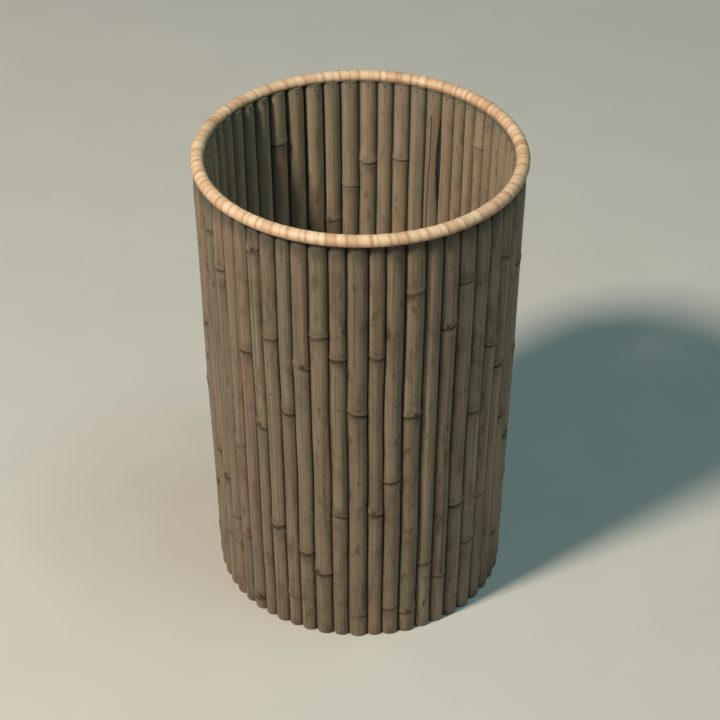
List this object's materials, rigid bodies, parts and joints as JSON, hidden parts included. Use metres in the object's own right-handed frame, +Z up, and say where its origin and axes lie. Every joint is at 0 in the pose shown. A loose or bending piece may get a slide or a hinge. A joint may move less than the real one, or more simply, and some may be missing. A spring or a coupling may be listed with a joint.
{
  "type": "bamboo cup",
  "caption": "Tapered drinking cup with a wall of upright bamboo canes side by side, rows of small pins, a raised wooden floor and a rim wound with a pale strip",
  "frame": {"origin": "centre of the foot, on the plane that the canes stand on", "axes": "+Z up the cup's axis to the open rim; the side seen in the picture faces -Y; +X to the right in the picture"},
  "size_m": [0.0798, 0.0798, 0.1201],
  "materials": {
    "rim_binding": "satin",
    "hoops": "matte",
    "floor": "matte",
    "pins": "matte",
    "canes": "satin"
  },
  "bodies": {
    "root": {"rim_binding": "rim_binding", "rim_hoop": "hoops", "middle_hoop": "hoops", "floor_disc": "floor", "top_pins": "pins", "lower_pins": "pins", "cane_01": "canes", "cane_02": "canes", "cane_03": "canes", "cane_04": "canes", "cane_05": "canes", "cane_06": "canes", "cane_07": "canes", "cane_08": "canes", "cane_09": "canes", "cane_10": "canes", "cane_11": "canes", "cane_12": "canes", "cane_13": "canes", "cane_14": "canes", "cane_15": "canes", "cane_16": "canes", "cane_17": "canes", "cane_18": "canes", "cane_19": "canes", "cane_20": "canes", "cane_21": "canes", "cane_22": "canes", "cane_23": "canes", "cane_24": "canes", "cane_25": "canes", "cane_26": "canes", "cane_27": "canes", "cane_28": "canes", "cane_29": "canes", "cane_30": "canes", "cane_31": "canes", "cane_32": "canes", "cane_33": "canes", "cane_34": "canes", "cane_35": "canes", "cane_36": "canes", "cane_37": "canes", "cane_38": "canes", "cane_39": "canes", "cane_40": "canes", "cane_41": "canes", "cane_42": "canes", "cane_43": "canes", "cane_44": "canes", "cane_45": "canes", "cane_46": "canes", "cane_47": "canes", "cane_48": "canes", "cane_49": "canes", "cane_50": "canes", "cane_51": "canes", "cane_52": "canes", "cane_53": "canes", "cane_54": "canes"}
  },
  "joints": []
}
